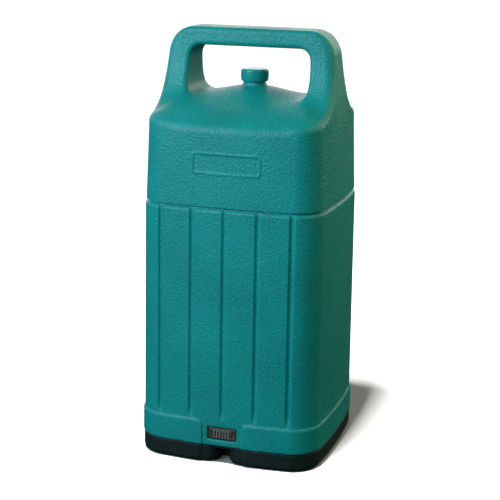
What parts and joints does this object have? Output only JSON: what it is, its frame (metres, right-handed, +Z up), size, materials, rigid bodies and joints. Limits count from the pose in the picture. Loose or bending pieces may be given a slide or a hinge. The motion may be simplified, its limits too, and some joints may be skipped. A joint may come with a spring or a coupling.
{
  "type": "lantern carrying case",
  "caption": "Tall hard plastic carrying case for a camping lantern: a lift-off cover with a moulded-in handle and a screw cap, latched onto a shallow dark base.",
  "frame": {"origin": "on the surface the case stands on, below the centre of its bounding box, which is also the axis of the cap and of the lantern socket", "axes": "+Z up, along the height; +X across the width, to the right of someone facing the front; the front, with the plaque, faces -Y"},
  "size_m": [0.205, 0.1932, 0.455],
  "materials": {
    "shell_green": "pebble-textured blow-moulded polyethylene, semi-gloss",
    "cap_green": "smooth moulded polyethylene",
    "base_black": "pebble-textured blow-moulded polyethylene",
    "latch_black": "smooth moulded nylon with raised ribs",
    "dark_moulding": "fine-textured moulded plastic",
    "liner_foam": "closed-cell foam",
    "steel": "zinc-plated steel"
  },
  "bodies": {
    "base": {"base_tray": "base_black", "socket_ring": "dark_moulding", "socket_screws": "steel", "front_latch_housing": "dark_moulding", "front_latch_screws": "steel", "rear_latch_housing": "dark_moulding", "rear_latch_screws": "steel", "front_latch_spring": "steel", "rear_latch_spring": "steel"},
    "cover": {"cover_shell": "shell_green", "spares_cup": "dark_moulding"},
    "cap_carrier": {"cap_liner": "liner_foam"},
    "cap": {"cap": "cap_green"},
    "front_latch": {"front_latch": "latch_black"},
    "rear_latch": {"rear_latch": "latch_black"}
  },
  "joints": [
    {"name": "cover_lift", "type": "slide", "parent": "base", "child": "cover", "axis": [0, 0, 1], "range_m": [0, 0.45]},
    {"name": "front_latch_press", "type": "slide", "parent": "base", "child": "front_latch", "axis": [0, 1, 0], "range_m": [0, 0.0045], "stiffness_N_per_m": 800, "springref_m": -0.003, "deforming": ["front_latch_spring"]},
    {"name": "rear_latch_press", "type": "slide", "parent": "base", "child": "rear_latch", "axis": [0, -1, 0], "range_m": [0, 0.0045], "stiffness_N_per_m": 800, "springref_m": -0.003, "deforming": ["rear_latch_spring"]},
    {"name": "cap_rise", "type": "slide", "parent": "cover", "child": "cap_carrier", "axis": [0, 0, 1], "range_m": [0, 0.006]},
    {"name": "cap_turn", "type": "hinge", "parent": "cap_carrier", "child": "cap", "pos_m": [0, 0, 0.4], "axis": [0, 0, 1], "range_deg": [0, 540.5]}
  ],
  "couplings": [
    {"joint": "cap_turn", "follows": "cap_rise", "rad_per_m": 1570.8}
  ]
}
